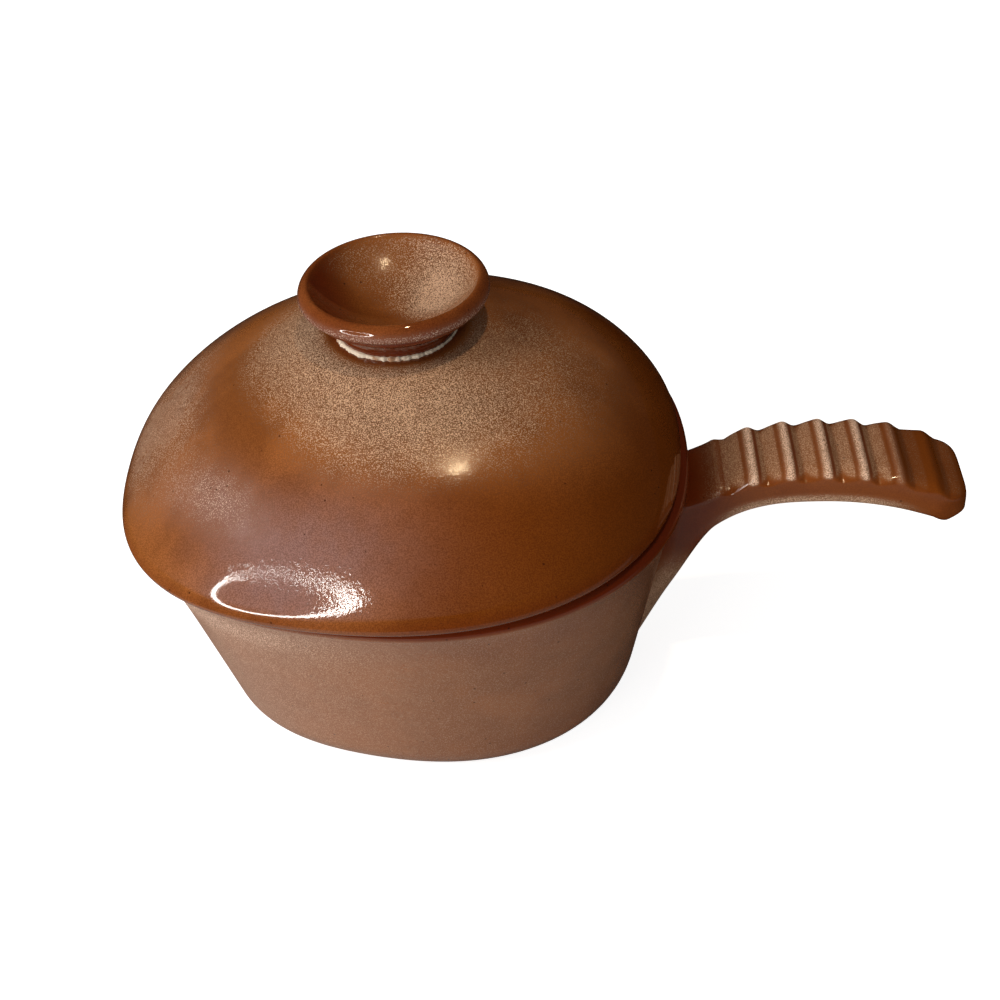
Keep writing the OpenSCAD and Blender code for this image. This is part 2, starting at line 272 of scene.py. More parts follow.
@dataclass
class Bowl:
    """The bowl: a leaning wall with a flared, round rim, on a flat foot with rounded corners."""

    mouth: Mouth
    wall: float = 6.5
    floor: float = 8.0
    lean: float = 23.0
    flare: float = 4.2
    flare_power: float = 10.0
    foot_corner: Pair = (12.0, 14.5)
    floor_corner: float = 20.0
    foot_shift: float = 3.8
    foot_rings: int = 14
    side_rings: int = 60
    rim_rings: int = 20
    inner_rings: int = 40
    floor_rings: int = 20
    flat_rings: int = 12
    guesses: int = 8
    steps: int = 360

    @staticmethod
    def corner(z: Array, width: float, height: float) -> Array:
        """How far an elliptic corner draws in at height z: width (1 - sqrt(1 - (1 - z/height)^2))."""
        t = np.clip(1 - z / height, 0.0, 1.0)
        return width * (1 - np.sqrt(1 - t**2))

    def inset(self, s: Array) -> Array:
        """How far the wall lies inside the rim at share s of the height: a lean and a late flare."""
        return self.lean * (1 - s) + self.flare * (1 - s**self.flare_power)

    def outside(self, s: Array, g: Array) -> Array:
        """Radius of the outside at share s and angle g: the rim's, shrunk by the inset and corner."""
        drawn = self.inset(s) + self.corner(s * self.mouth.height, *self.foot_corner)
        return self.mouth.rim(g) * (1 - drawn / self.mouth.radius)

    def inside(self, s: Array, g: Array) -> Array:
        """Radius of the inside there: one wall in, with a rounded corner above the floor."""
        above = s * self.mouth.height - self.floor
        drawn = self.inset(s) + self.corner(above, self.floor_corner, self.floor_corner)
        return self.mouth.rim(g) * (1 - drawn / self.mouth.radius) - self.wall

    def points(self, s: Array, g: Array, r: Array) -> Array:
        """Points at share s, angle g and radius r; lower down, their middle is nearer the handle."""
        s, g, r = np.broadcast_arrays(s, g, r)
        x = self.foot_shift * (1 - s) + r * np.cos(g)
        return np.stack([x, r * np.sin(g), s * self.mouth.level(g)], axis=-1)

    def wall_x(self, y: Array, z: Array) -> Array:
        """X of the wall's outside at y and z on the handle's side, by a few closer guesses."""
        x = np.full_like(y, self.mouth.rim(np.array(0.0)))
        for _ in range(self.guesses):
            s = z / self.mouth.level(np.arctan2(y, x))
            middle = self.foot_shift * (1 - s)
            r = self.outside(s, np.arctan2(y, x - middle))
            x = middle + np.sqrt(r**2 - y**2)
        return x

    def skin(self) -> Skin:
        """The whole surface, from the foot's middle up the outside, over the rim and down the inside."""
        g = round_angles(self.steps)[None, :]
        h = self.mouth.height
        crown = (h - self.wall / 2) / h
        foot = self.foot_corner[1] * (1 - np.cos(np.linspace(0, QUARTER, self.foot_rings))) / h
        side = np.linspace(self.foot_corner[1] / h, crown, self.side_rings)[1:]
        out_s = np.concatenate([foot, side])[:, None]
        out = self.points(out_s, g, self.outside(out_s, g))
        under = self.points(0.0 * g, g, self.outside(0.0 * g, g))
        shares = np.linspace(*FLAT, self.flat_rings)[:, None, None]
        middle = np.array([self.foot_shift, 0.0, 0.0])
        under = middle + shares * (under - middle)
        a = np.radians(np.linspace(0, 180, self.rim_rings))[1:-1, None]
        top_s = crown + self.wall / 2 * np.sin(a) / h
        top = self.points(top_s, g, self.outside(np.array(crown), g) - self.wall / 2 * (1 - np.cos(a)))
        low = (self.floor + self.floor_corner) / h
        a = np.linspace(0, QUARTER, self.floor_rings)
        dish = (self.floor + self.floor_corner * (1 - np.cos(a))) / h
        in_s = np.concatenate([np.linspace(crown, low, self.inner_rings)[:-1], dish[::-1]])[:, None]
        inner = self.points(in_s, g, self.inside(in_s, g))
        floor_middle = np.array([self.foot_shift * (1 - dish[0]), 0.0, self.floor])
        floor = floor_middle + shares[::-1] * (inner[-1] - floor_middle)
        grid = np.concatenate([under, out, top, inner, floor])
        return Skin(grid, self.marks(grid))

    def marks(self, grid: Array) -> dict[Mark, Array]:
        """How the glaze lies on the bowl: a speckled wall and a thin rim, with a paler, pinker left side
        and band under the rim that are painted sheen, and a more amber right side that is partly painted
        shade.
        """
        x, y, z = np.moveaxis(grid, -1, 0)
        g = np.arctan2(y, x)
        s = z / self.mouth.level(g)
        band = hill(s, 0.86, 0.1)
        left = ease(0.2, -0.85, np.cos(g))
        right = ease(-0.1, 0.7, np.cos(g))
        thin = ease(0.95, 0.985, s) + 0.6 * ease(0.36, 0.2, np.abs(g)) * ease(0.7, 0.9, s)
        # Painted light: more bloom and pink on the left and in the band under the rim there are painted
        # sheen; the right side's extra amber and lower bloom are partly painted shade, and the band's
        # thin red-brown on the right is partly painted shadow of the lid.
        bloom = 0.36 + 0.12 * left - 0.06 * right + 0.3 * band * left - 0.4 * thin
        return laid(
            bloom=bloom,
            thin=thin + 0.3 * band * (1 - left),
            rose=0.25 + 0.3 * left + 0.45 * band * left - 0.15 * right - 0.3 * thin,
            pool=0.2 + 0.3 * right,
            relief=0.5 + 0 * x,
        )


@dataclass
class Knob:
    """The dished knob: a flared neck, a bead, a leaning oval lip and a hollow top, all turned."""

    seat_height: float = 0.0
    foot_r: float = 21.2
    band_h: float = 2.6
    band_flare: float = 0.7
    band_step: float = 0.3
    hollow: float = 1.6
    bead_r: float = 31.0
    bead_round: float = 1.5
    groove: float = 1.3
    lip_r: float = 34.0
    lip_round: float = 1.9
    lip_tall: float = 3.3
    lip_lean: float = 28.0
    lip_z: float = 16.8
    lip_top: float = 20.0
    dish: float = 11.8
    bead_angles: Pair = (-60.0, 90.0)
    lip_angles: Pair = (-150.0, 100.0)
    middle: float = 0.2
    neck_points: int = 30
    bead_points: int = 24
    lip_points: int = 60
    dish_points: int = 60
    steps: int = 288
    rings: int = 240

    def lip(self) -> Array:
        """The lip's section: part of an oval that leans in, so that its flat side faces out and up."""
        lean = math.radians(self.lip_lean)
        t = np.radians(np.linspace(*self.lip_angles, self.lip_points))
        out, up = self.lip_round * np.cos(t), self.lip_tall * np.sin(t)
        reach = math.hypot(self.lip_tall * math.sin(lean), self.lip_round * math.cos(lean))
        rise = math.hypot(self.lip_tall * math.cos(lean), self.lip_round * math.sin(lean))
        r = self.lip_r - reach + out * math.cos(lean) - up * math.sin(lean)
        z = self.lip_top - rise + out * math.sin(lean) + up * math.cos(lean)
        return np.stack([r, z], axis=-1)

    def profile(self) -> Array:
        """Half section from the foot's middle round the outside to the dish's, as (radius, height)."""
        bead_z = self.lip_z - self.lip_round - self.groove - self.bead_round
        bead = (self.bead_r - self.bead_round, bead_z)
        band = np.array([self.foot_r + self.band_flare, self.band_h])
        bead_curve = arc(bead, self.bead_round, *self.bead_angles, self.bead_points)
        lip_curve = self.lip()
        turn = np.array([self.foot_r + self.hollow, (band[1] + bead[1]) / 2])
        start = band + self.band_step * np.array([-1.0, 0.6])
        neck = bend(start, turn, bead_curve[0], np.linspace(0, 1, self.neck_points)[:, None])
        neck = np.concatenate([band[None], neck])
        edge = lip_curve[-1]
        base = self.lip_z - self.dish
        deep = edge[1] - base
        radius = (edge[0] ** 2 + deep**2) / (2 * deep)
        half = math.degrees(math.asin(edge[0] / radius))
        dish = arc((0.0, base + radius), radius, half - 90, -90, self.dish_points)
        foot = np.array([[self.middle, 0.0], [self.foot_r, 0.0]])
        return np.concatenate([foot, neck, bead_curve, lip_curve, dish[1:-1], [[self.middle, base]]])

    def skin(self) -> Skin:
        """The section turned about the axis."""
        section = spread(self.profile(), self.rings)
        g = round_angles(self.steps)[None, :]
        grid = turned(section[:, :1], g, section[:, 1:] + self.seat_height)
        return Skin(grid, self.marks(grid))

    def marks(self, grid: Array) -> dict[Mark, Array]:
        """How the glaze lies on the knob: a speckled dish, a pool of amber and thin red-brown edges,
        with painted shade on the dish's left inner wall and partly painted light on its right wall.
        """
        x, y, z = np.moveaxis(grid, -1, 0)
        r = np.hypot(x, y)
        up = z - self.seat_height
        along = np.arange(grid.shape[0])[:, None] / grid.shape[0]
        inside = ease(0.52, 0.6, along + 0 * x)
        dish = inside * ease(31.8, 27.5, r)
        # Grain and a pale patch on the dish's right wall, which faces the lamps, are partly the glaze's
        # own and partly painted light.
        grain = dish * ease(-22.0, 18.0, x + 0.15 * y) * (1 - 0.45 * ease(6.0, 24.0, y))
        pool = dish * ease(7.0, -7.0, y + 0.2 * x)
        frost_and_lit_wall = dish * hill(x, 14.5, 9.0) * hill(y, 5.0, 14.0)
        back = dish * ease(4.0, 20.0, y) * (1 - grain)
        outer = (1 - inside) * hill(up, self.lip_z - 1.2, 2.3) * ease(29.0, 32.0, r)
        lip = ease(self.lip_z - 3.0, self.lip_z - 1.0, up) * ease(28.0, 31.0, r)
        bloom = 0.4 * grain * (1 - pool) + 1.3 * frost_and_lit_wall * (1 - 0.5 * pool) + 0.22 * back
        bloom = bloom + 0.32 * outer * ease(15.0, -15.0, y)
        return laid(
            bloom=bloom,
            # The dish's left inner wall keeps the thin red-brown as painted shade of a wall turned from
            # the light; elsewhere on the knob it is thin glaze.
            thin=0.9 - 0.4 * lip - 1.2 * dish * ease(-26.0, -6.0, x + 0.3 * y),
            rose=0.7 * outer + 0.2 * frost_and_lit_wall,
            pool=0.4 * dish + 0.3 * pool,
            relief=grain * (1 - pool) + back + 0.3 * outer,
            most=1.3,
        )


@dataclass
class ClayRing:
    """The bare ring of clay round the knob's foot, wiped by hand, so its width and height wander."""

    seat_height: float = 0.0
    inner: float = 21.1
    width: float = 1.6
    height: float = 1.2
    lean: float = 0.4
    seed: int = 11
    waves: tuple[int, int, int] = (3, 90, 2)
    wide_at: float = -112.0
    steps: int = 420
    rings: int = 28

    def skin(self) -> Skin:
        """A low bank, in section half a bend from the seat up to the neck, wider at the front left."""
        g = round_angles(self.steps)[None, :]
        rng = np.random.default_rng(self.seed)
        wander = 0 * g
        for k in range(*self.waves):
            wander = wander + rng.normal(0, 1 / k**0.4) * np.cos(k * g + rng.uniform(0, TURN))
        wander = wander / np.abs(wander).max()
        front_left = (0.5 + 0.5 * np.cos(g - math.radians(self.wide_at))) ** 1.5
        width = self.width * (0.3 + 0.7 * front_left + 0.26 * wander * (0.3 + front_left))
        height = self.height * (0.45 + 0.55 * front_left + 0.2 * wander)
        t = np.linspace(0, 1, self.rings)[:, None]
        r = bend(self.inner + width, self.inner + width, self.inner + self.lean + 0 * g, t)
        z = bend(0 * g, height, height, t) + self.seat_height
        low = np.linspace(0, 1, 4)[:-1, None]
        base_r = self.inner + low * width
        base_z = self.seat_height + 0 * base_r
        grid = turned(np.concatenate([base_r, r]), g, np.concatenate([base_z, z]))
        return Skin(grid, ends=Ends.JOINED)


@dataclass
class Lid:
    """The domed lid: a thin rounded edge, a skewed dome, a flat seat for the knob and a ring below."""

    mouth: Mouth
    bowl: Bowl
    seat_r: float = 25.3
    crown: float = 54.0
    roundness: float = 2.27
    skew: float = 0.3
    fullness: float = 1.21
    swell: float = 4.0
    swell_r: float = 47.0
    seat_blend: float = 20.0
    twist: float = 1.6
    edge_t: float = 3.5
    wall: float = 6.0
    flange_h: float = 8.0
    flange_t: float = 5.0
    play: float = 1.5
    gap: float = 0.3
    flat_rings: int = 10
    under_rings: int = 46
    foot_rings: int = 16
    edge_rings: int = 12
    top_rings: int = 112
    under_crowd: float = 1.4
    top_crowd: float = 1.5
    steps: int = 360

    def dome(self, t: Array, g: Array) -> Array:
        """Height at share t of the way out: a powered curve, rounder towards the handle, and a swell."""
        power = self.roundness + self.skew * np.cos(g)
        bow = np.clip(1 - np.clip(t, 0, None) ** power, 0, None) ** (1 / self.fullness)
        tilt = self.mouth.rise * np.cos(g) * t**3
        hump = self.swell * np.exp(-((t * self.mouth.radius / self.swell_r) ** 2))
        return self.edge_t + self.mouth.height + tilt + self.crown * bow + hump

    @property
    def seat_z(self) -> float:
        """Height of the flat seat under the knob."""
        return float(self.dome(np.array(self.seat_r / self.mouth.radius), np.array(math.pi / 2)))

    def top(self, r: Array, g: Array) -> Array:
        """Height of the outside at r and g: the dome, uneven at the back, level at the knob's seat."""
        level = np.clip(1 - (r - self.seat_r) / self.seat_blend, 0, 1) ** 2
        share = np.clip((r - self.seat_r) / (self.mouth.edge(g) - self.seat_r), 0, 1)
        behind = np.clip(np.sin(g), 0, None) ** 3
        uneven = -self.twist * np.sin(2 * g) * behind * np.sin(math.pi * share) ** 2
        return level * self.seat_z + (1 - level) * (self.dome(r / self.mouth.edge(g), g) + uneven)

    def under(self, r: Array, g: Array) -> Array:
        """Height of the inside there: one wall's thickness away, measured square to the slope."""
        slope = (self.top(r + NUDGE, g) - self.top(r - NUDGE, g)) / (2 * NUDGE)
        return self.top(r, g) - self.wall * np.sqrt(1 + slope**2)

    def low(self, g: Array) -> Array:
        """Height of the underside of the lid's edge."""
        return self.mouth.level(g) + self.gap

    def flange(self, g: Array) -> Array:
        """Radius over the ring that keeps the lid in the mouth."""
        s = (self.mouth.height - self.flange_h) / self.mouth.height
        shift = self.bowl.foot_shift * (1 - s) * np.abs(np.cos(g))
        return self.bowl.inside(np.array(s), g) - shift - self.play

    def skin(self) -> Skin:
        """The whole surface, from the underside's middle out, round the ring and edge, up the dome."""
        g = round_angles(self.steps)[None, :]
        flange, edge, low = self.flange(g), self.mouth.edge(g), self.low(g)
        inner = flange - self.flange_t
        w = (1 - (1 - np.linspace(0, 1, self.under_rings)) ** self.under_crowd)[:, None]
        centre = np.linspace(*FLAT, self.flat_rings)[:, None]
        blunt = self.flange_t / 4
        a = np.radians(np.linspace(-90, 0, self.edge_rings))[:, None]
        edge_round = self.edge_t - self.gap
        corner = np.radians(np.linspace(180, 360, self.foot_rings))[:, None]
        foot_r = np.where(corner < 1.5 * math.pi, inner + blunt, flange - blunt) + blunt * np.cos(corner)
        foot_z = low - self.flange_h + blunt * (1 + np.sin(corner))
        out = (1 - np.linspace(0, 1, self.top_rings) ** self.top_crowd)[1:, None]
        under_r = self.seat_r + w * (inner - self.seat_r)
        top_r = self.seat_r + out * (edge - self.seat_r)
        rows = [
            (centre * self.seat_r + 0 * g, self.seat_z - self.wall + 0 * centre + 0 * g),
            (under_r, self.under(under_r, g)),
            (foot_r, foot_z),
            (flange + 0 * w[:3], low - np.linspace(0.6, 0, 3)[:, None] * self.flange_h / 2),
            (edge - edge_round * (1 - np.cos(a)), low + edge_round * (1 + np.sin(a))),
            (top_r, self.top(top_r, g)),
            (centre[::-1] * self.seat_r + 0 * g, self.seat_z + 0 * centre + 0 * g),
        ]
        r, z = (np.concatenate(values) for values in zip(*rows))
        grid = turned(r, g, z)
        return Skin(grid, self.marks(grid))

    def marks(self, grid: Array) -> dict[Mark, Array]:
        """How the glaze lies on the lid: a speckled cap, amber below it, a pink patch at the front left
        that is a painted reflection glow with painted glints above it, and painted shade round and
        beside the knob.
        """
        x, y = grid[..., 0], grid[..., 1]
        r, g = np.hypot(x, y), np.arctan2(y, x)
        t = r / self.mouth.edge(g)
        wander = 3 * np.sin(3 * g - 1.1) + 2 * np.sin(5 * g + 2.0) - 12 * np.cos(g)
        wander = wander + 8 * np.clip(np.cos(g + 2.2), 0, None) ** 6
        cap = ease(23.0, 31.0, r) * ease(84.0, 44.0, r + wander)
        # Less grain to the right of and behind the knob: partly the glaze's own spread and partly
        # painted shadow of the knob; the spot at (32, 10) is painted shadow of the knob.
        cap = cap * (1 - 0.65 * ease(5.0, 65.0, x)) * (1 - 0.6 * ease(-10.0, 55.0, y))
        cap = cap * (1 - 0.85 * ease(0.0, 40.0, y) * ease(0.0, 28.0, x))
        cap = cap * (1 - 0.6 * patch(x, y, (32.0, 10.0), (14.0, 16.0)))
        left = ease(60.0, 86.0, r) * hill(y, 0.0, 38.0) * ease(0.0, -60.0, x) * ease(1.02, 0.93, t)
        # A strip just above the ring lamp's reflection: a bump that breaks up the reflection, and pale
        # pink dots there that are painted glints of it.
        along = 0.76 * (x + 61.0) - 0.65 * (y + 59.0)
        across = 0.65 * (x + 61.0) + 0.76 * (y + 59.0)
        flecks_and_glints = hill(along, 0.0, 25.0) * hill(across, 0.0, 9.0)
        # A pink patch at the front left, round the ring lamp's reflection: painted reflection glow of
        # that lamp.
        haze_and_sheen = patch(x, y, (-34.0, -86.0), (36.0, 18.0))
        right = ease(-62.0, 28.0, x) * ease(58.0, 84.0, r + wander)
        behind = ease(0.0, 60.0, y) * ease(-20.0, 40.0, x)
        edge = ease(0.975, 0.998, t)
        # Round the knob's foot: red-brown and no grain, partly thin glaze and partly painted shade where
        # the knob meets the lid.
        foot = ease(26.0, 23.0, r)
        return laid(
            bloom=0.88 * cap + 0.48 * left + 0.27 * flecks_and_glints - edge - 0.5 * foot,
            thin=0.35 * edge + 0.8 * foot,
            rose=haze_and_sheen + 0.7 * flecks_and_glints + 0.25 * left - edge - foot,
            pool=right + 0.5 * behind - 0.7 * haze_and_sheen,
            relief=cap + 0.4 * left + ease(101.0, 96.0, r) * (flecks_and_glints + 1.4 * haze_and_sheen),
        )


@dataclass
class Handle:
    """The arched grip with rounded ribs on top, a blunt tip and a root that runs down the wall."""

    mouth: Mouth
    bowl: Bowl
    reach: float = 102.0
    root_end_w: float = 34.6
    tip_w: float = 39.0
    thickness: float = 17.4
    arch_drop: float = 1.8
    arch_x: float = 47.5
    arch_top_r: float = 130.0
    arch_low_r: float = 106.0
    haunch: float = 20.0
    root_top_drop: float = 16.5
    root_shoulder: float = 12.8
    root_w: float = 33.0
    root_swell: float = 9.0
    rib_pitch: float = 13.5
    rib_depth: float = 3.0
    rib_lean: float = 0.12
    rib_start: float = 8.0
    crest: float = 0.16
    tip_round: float = 13.0
    tip_lift: float = 2.0
    tip_power: float = 3.0
    squareness: float = 5.0
    fin_squareness: float = 3.2
    low_squareness: float = 4.0
    neck_dip: float = 5.5
    tip_dip: float = 1.1
    tip_tuck: float = 5.0
    tip_fade: float = 0.35
    root_run: float = 0.4
    neck_run: float = 0.2
    fillet: float = 4.0
    fillet_share: float = 0.3
    fin_flare: float = 2.2
    sunk: float = 0.3
    neck_zone: Pair = (8.0, -12.0)
    tip_zone: Pair = (-27.0, -16.0)
    fade_zone: Pair = (-36.0, -18.0)
    neck_crowd: float = 1.3
    neck_rings: int = 60
    grip_rings: int = 230
    tip_rings: int = 40
    end_rings: int = 6
    steps: int = 144

    def __post_init__(self) -> None:
        """Works out where the handle starts, arches and ends."""
        rim_x = float(self.mouth.rim(np.array(0.0)))
        self.first_x = rim_x + self.rib_start
        self.apex_x = rim_x + self.arch_x
        self.apex_z = float(self.mouth.level(np.array(0.0))) - self.arch_drop
        self.tip_x = rim_x + self.reach
        self.blunt_x = self.tip_x - self.tip_round

    def half(self, x: Array) -> Array:
        """Half width at x, which grows evenly from the first rib to the tip."""
        share = (x - self.first_x) / (self.blunt_x - self.first_x)
        return (self.root_end_w + (self.tip_w - self.root_end_w) * share) / 2

    def high(self, x: Array) -> Array:
        """Height of the crests at x: a parabola about the arch's top, lower at the neck and the tip."""
        neck = self.neck_dip * ease(*self.neck_zone, x - self.first_x)
        tip = self.tip_dip * ease(*self.tip_zone, x - self.tip_x)
        return self.apex_z - (x - self.apex_x) ** 2 / (2 * self.arch_top_r) - neck - tip

    def lowest(self, x: Array) -> Array:
        """Height of the underside at x: a parabola towards the tip, a cubic haunch towards the root."""
        tipward = (x - self.apex_x) ** 2 / (2 * self.arch_low_r)
        rootward = self.haunch * (np.clip(self.apex_x - x, 0, None) / self.arch_x) ** 3
        return self.apex_z - self.thickness - np.where(x > self.apex_x, tipward, rootward)

    def valley(self, x: Array) -> Array:
        """Depth in a valley at x, from 0 on a crest to 1 between two: a rounded, leaning saw tooth."""
        u = (x - self.first_x) / self.rib_pitch
        u = u + self.rib_lean * np.sin(math.pi * u) ** 2
        d = np.abs(u - np.round(u))
        rounded = np.sqrt(d**2 + self.crest**2) - self.crest
        return np.where(x < self.first_x, 0.0, 1 - (1 - 2 * rounded) ** 2)

    @staticmethod
    def loop(u: Array, power: float | Array) -> tuple[Array, Array]:
        """Point at polar angle u on the superellipse |y|^n + |z|^n = 1."""
        reach = (np.abs(np.cos(u)) ** power + np.abs(np.sin(u)) ** power) ** (-1 / power)
        return reach * np.cos(u), reach * np.sin(u)

    def sections(self, x: Array, k: Array) -> Array:
        """Sections at x with the ribs cut in, drawn in to the share k about a middle that lifts."""
        u = round_angles(self.steps)[None, :]
        y, z = self.loop(u, np.where(np.sin(u) > 0, self.squareness, self.low_squareness))
        tall = (self.high(x) - self.lowest(x)) / 2
        middle = (self.high(x) + self.lowest(x)) / 2 + self.tip_lift * (1 - k)
        fade = 1 - self.tip_fade * ease(*self.fade_zone, x - self.tip_x)
        cut = self.rib_depth * fade * self.valley(x) * ease(0.3, 0.85, z)
        rows = (x, k * self.half(x) * y, middle + k * tall * z - cut)
        return np.stack(np.broadcast_arrays(*rows), axis=-1)

    def root(self, grow: Array) -> Array:
        """Rings on the wall: square above, a narrow fin below, grown outwards, more beside the fin."""
        u = round_angles(self.steps)[None, :]
        upper = np.sin(u) > 0
        y, z = self.loop(u, np.where(upper, self.squareness, self.fin_squareness))
        top = float(self.mouth.level(np.array(0.0))) - self.root_top_drop
        middle = top - self.root_shoulder
        tall = np.where(upper, self.root_shoulder, middle - self.bowl.foot_corner[1])
        y = y * (self.root_w / 2 + grow * (1 + self.fin_flare * np.clip(-np.sin(u), 0, None)))
        z = middle + z * (tall + grow)
        return np.stack([self.bowl.wall_x(y, z), y, z], axis=-1)

    def neck(self, t: Array) -> Array:
        """Rings from the wall to the first rib: each point on its own cubic curve, with a fillet."""
        root = self.root(np.zeros((1, 1)))
        first = np.full((1, 1), self.first_x)
        arrive_at = self.sections(first, np.ones((1, 1)))
        slope = (arrive_at - self.sections(first - NUDGE, np.ones((1, 1)))) / NUDGE
        u = round_angles(self.steps)
        swell = np.zeros_like(root)
        swell[..., 0] = self.root_swell * np.clip(-np.sin(u), 0, None) ** 3
        leave = root + self.root_run * (arrive_at - root) + swell
        arrive = arrive_at - self.neck_run * (self.first_x - root[..., :1]) * slope
        rings = curve(root, leave, arrive, arrive_at, t[:, None, None])
        away = np.clip(1 - t / self.fillet_share, 0, 1)[:, None] ** 2
        rings = rings + (self.root(self.fillet * away) - root)
        rings[..., 0] -= self.sunk * away
        return rings

    def skin(self) -> Skin:
        """The whole surface, from inside the wall along the neck and the ribs to the blunt tip."""
        neck = self.neck(np.linspace(0, 1, self.neck_rings) ** self.neck_crowd)
        x = np.linspace(self.first_x, self.blunt_x, self.grip_rings)[1:, None]
        grip = self.sections(x, np.ones_like(x))
        a = np.linspace(0, QUARTER, self.tip_rings)[1:-1, None]
        x = self.blunt_x + self.tip_round * np.sin(a)
        tip = self.sections(x, np.cos(a) ** (1 / self.tip_power))
        under = ease(0.1, 0.8, -self.loop(round_angles(self.steps), self.low_squareness)[1])
        tip[..., 0] -= self.tip_tuck * np.sin(a) * under
        end = tip[-1].mean(axis=0)
        close = end + np.linspace(0.8, 0.1, self.end_rings)[:, None, None] * (tip[-1] - end)
        bulge = np.linspace(0.1, 0.3, self.end_rings)[:, None]
        close[..., 0] = np.minimum(close[..., 0] + bulge, self.tip_x)
        grid = np.concatenate([neck, grip, tip, close])
        return Skin(grid, self.marks(grid))

    def marks(self, grid: Array) -> dict[Mark, Array]:
        """How the glaze lies on the handle: tan valleys, pale crests that are partly painted glints, a
        painted shadow past each crest, red-brown sides, a dark root and a fin that is partly painted
        reflection.
        """
        x, z = grid[..., 0], grid[..., 2]
        middle = (self.high(x) + self.lowest(x)) / 2
        height = np.clip((z - middle) / ((self.high(x) - self.lowest(x)) / 2), -1.2, 1.2)
        past = x - self.first_x
        on_top = ease(0.5, 0.72, height) * ease(-12.0, 7.0, past)
        u = past / self.rib_pitch
        phase = u - np.round(u)
        tipward = ease(-34.0, -22.0, x - self.tip_x)
        # Pale pink crests: partly the glaze's own and partly painted glints of light on the crests.
        crest = on_top * hill(phase, 0.02, 0.14) * (1 - tipward) * ease(0.3, 0.8, u)
        basin = np.maximum(ease(0.16, 0.3, np.abs(phase + 0.02)), ease(0.4, 0.0, u))
        basin = on_top * basin * (1 - 0.6 * tipward)
        streak = on_top * hill(phase, -0.2, 0.07)
        # A red-brown strip just past each crest: painted shadow of the crest's steep side.
        crest_shadow = on_top * hill(phase, 0.17, 0.05) * (1 - tipward) * ease(0.3, 0.8, u)
        below = ease(0.0, -0.55, height) * ease(-8.0, -40.0, x - self.tip_x)
        root = ease(14.0, -10.0, past)
        dark = root * ease(44.0, 64.0, z)
        fin = root * ease(64.0, 40.0, z)
        side = (1 - on_top) * (1 - root) * (1 - below)
        bloom = 1.35 * crest * (1 - crest_shadow) + 0.55 * basin * (1 - crest_shadow)
        # The fin's extra bloom is partly a painted reflection of the floor.
        bloom = bloom + 0.85 * below * (1 - root) + 0.7 * fin
        return laid(
            bloom=bloom,
            thin=0.3 * side + 0.85 * dark + 0.6 * crest_shadow,
            rose=0.8 * crest + 0.3 * below,
            pool=streak + 0.7 * basin + tipward * on_top + 0.6 * (1 - on_top),
            relief=0.8 * crest + 0.5 * basin + 0.5 * below + 0.4 * fin,
            most=1.35,
        )


def linear(code: str) -> tuple[float, ...]:
    """A six digit screen colour as linear red, green, blue and 1."""
    part = np.array([int(code[k : k + 2], 16) for k in (1, 3, 5)]) / 255
    value = np.where(part <= 0.04045, part / 12.92, ((part + 0.055) / 1.055) ** 2.4)
    return (*map(float, value), 1.0)


Input = float | tuple[float, ...] | Socket


